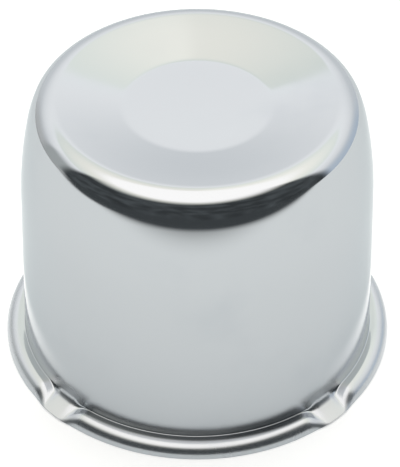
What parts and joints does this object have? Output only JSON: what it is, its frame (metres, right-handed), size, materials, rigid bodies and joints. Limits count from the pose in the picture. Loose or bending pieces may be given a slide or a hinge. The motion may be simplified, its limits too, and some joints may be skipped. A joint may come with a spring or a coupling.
{
  "type": "center cap",
  "caption": "Chromed steel push-through wheel centre cap: a tapered drawn cup with a dished, round-rimmed crown and a rolled flange crimped flat at intervals.",
  "frame": {"origin": "centre of the lip, in the plane that the lip stands on", "axes": "+Z along the cap's axis, from the open side to the crown; one pair of crimps lies on each diagonal of X and Y"},
  "size_m": [0.12, 0.12, 0.0886],
  "materials": {
    "chrome_plate": "bright chrome plate on drawn steel sheet, polished outside"
  },
  "bodies": {
    "root": {"cap_shell": "chrome_plate"}
  },
  "joints": []
}
